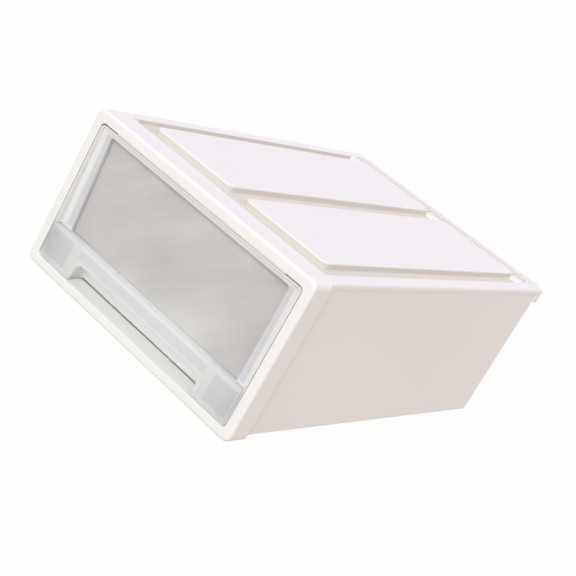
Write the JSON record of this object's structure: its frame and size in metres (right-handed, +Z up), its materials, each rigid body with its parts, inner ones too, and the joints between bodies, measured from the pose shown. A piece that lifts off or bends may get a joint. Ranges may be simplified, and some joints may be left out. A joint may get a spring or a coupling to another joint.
{
  "type": "stackable drawer box",
  "caption": "Stackable plastic drawer box: white casing with grooved top and a clear sliding drawer with a finger cut-out.",
  "frame": {"origin": "centre of the bounding box's underside, on the surface that the box stands on", "axes": "+Z up, -Y towards the front, where the drawer opens, +X to the right seen from the front"},
  "size_m": [0.26, 0.399, 0.15],
  "materials": {
    "casing_white": "satin",
    "drawer_clear": "clear"
  },
  "bodies": {
    "casing": {"front_frame": "casing_white", "top_cover": "casing_white", "base_panel": "casing_white", "right_side_panel": "casing_white", "left_side_panel": "casing_white", "rear_panel": "casing_white"},
    "drawer": {"drawer": "drawer_clear"}
  },
  "joints": [
    {"name": "drawer_slide", "type": "slide", "parent": "casing", "child": "drawer", "axis": [0, -1, 0], "range_m": [0, 0.305]}
  ]
}
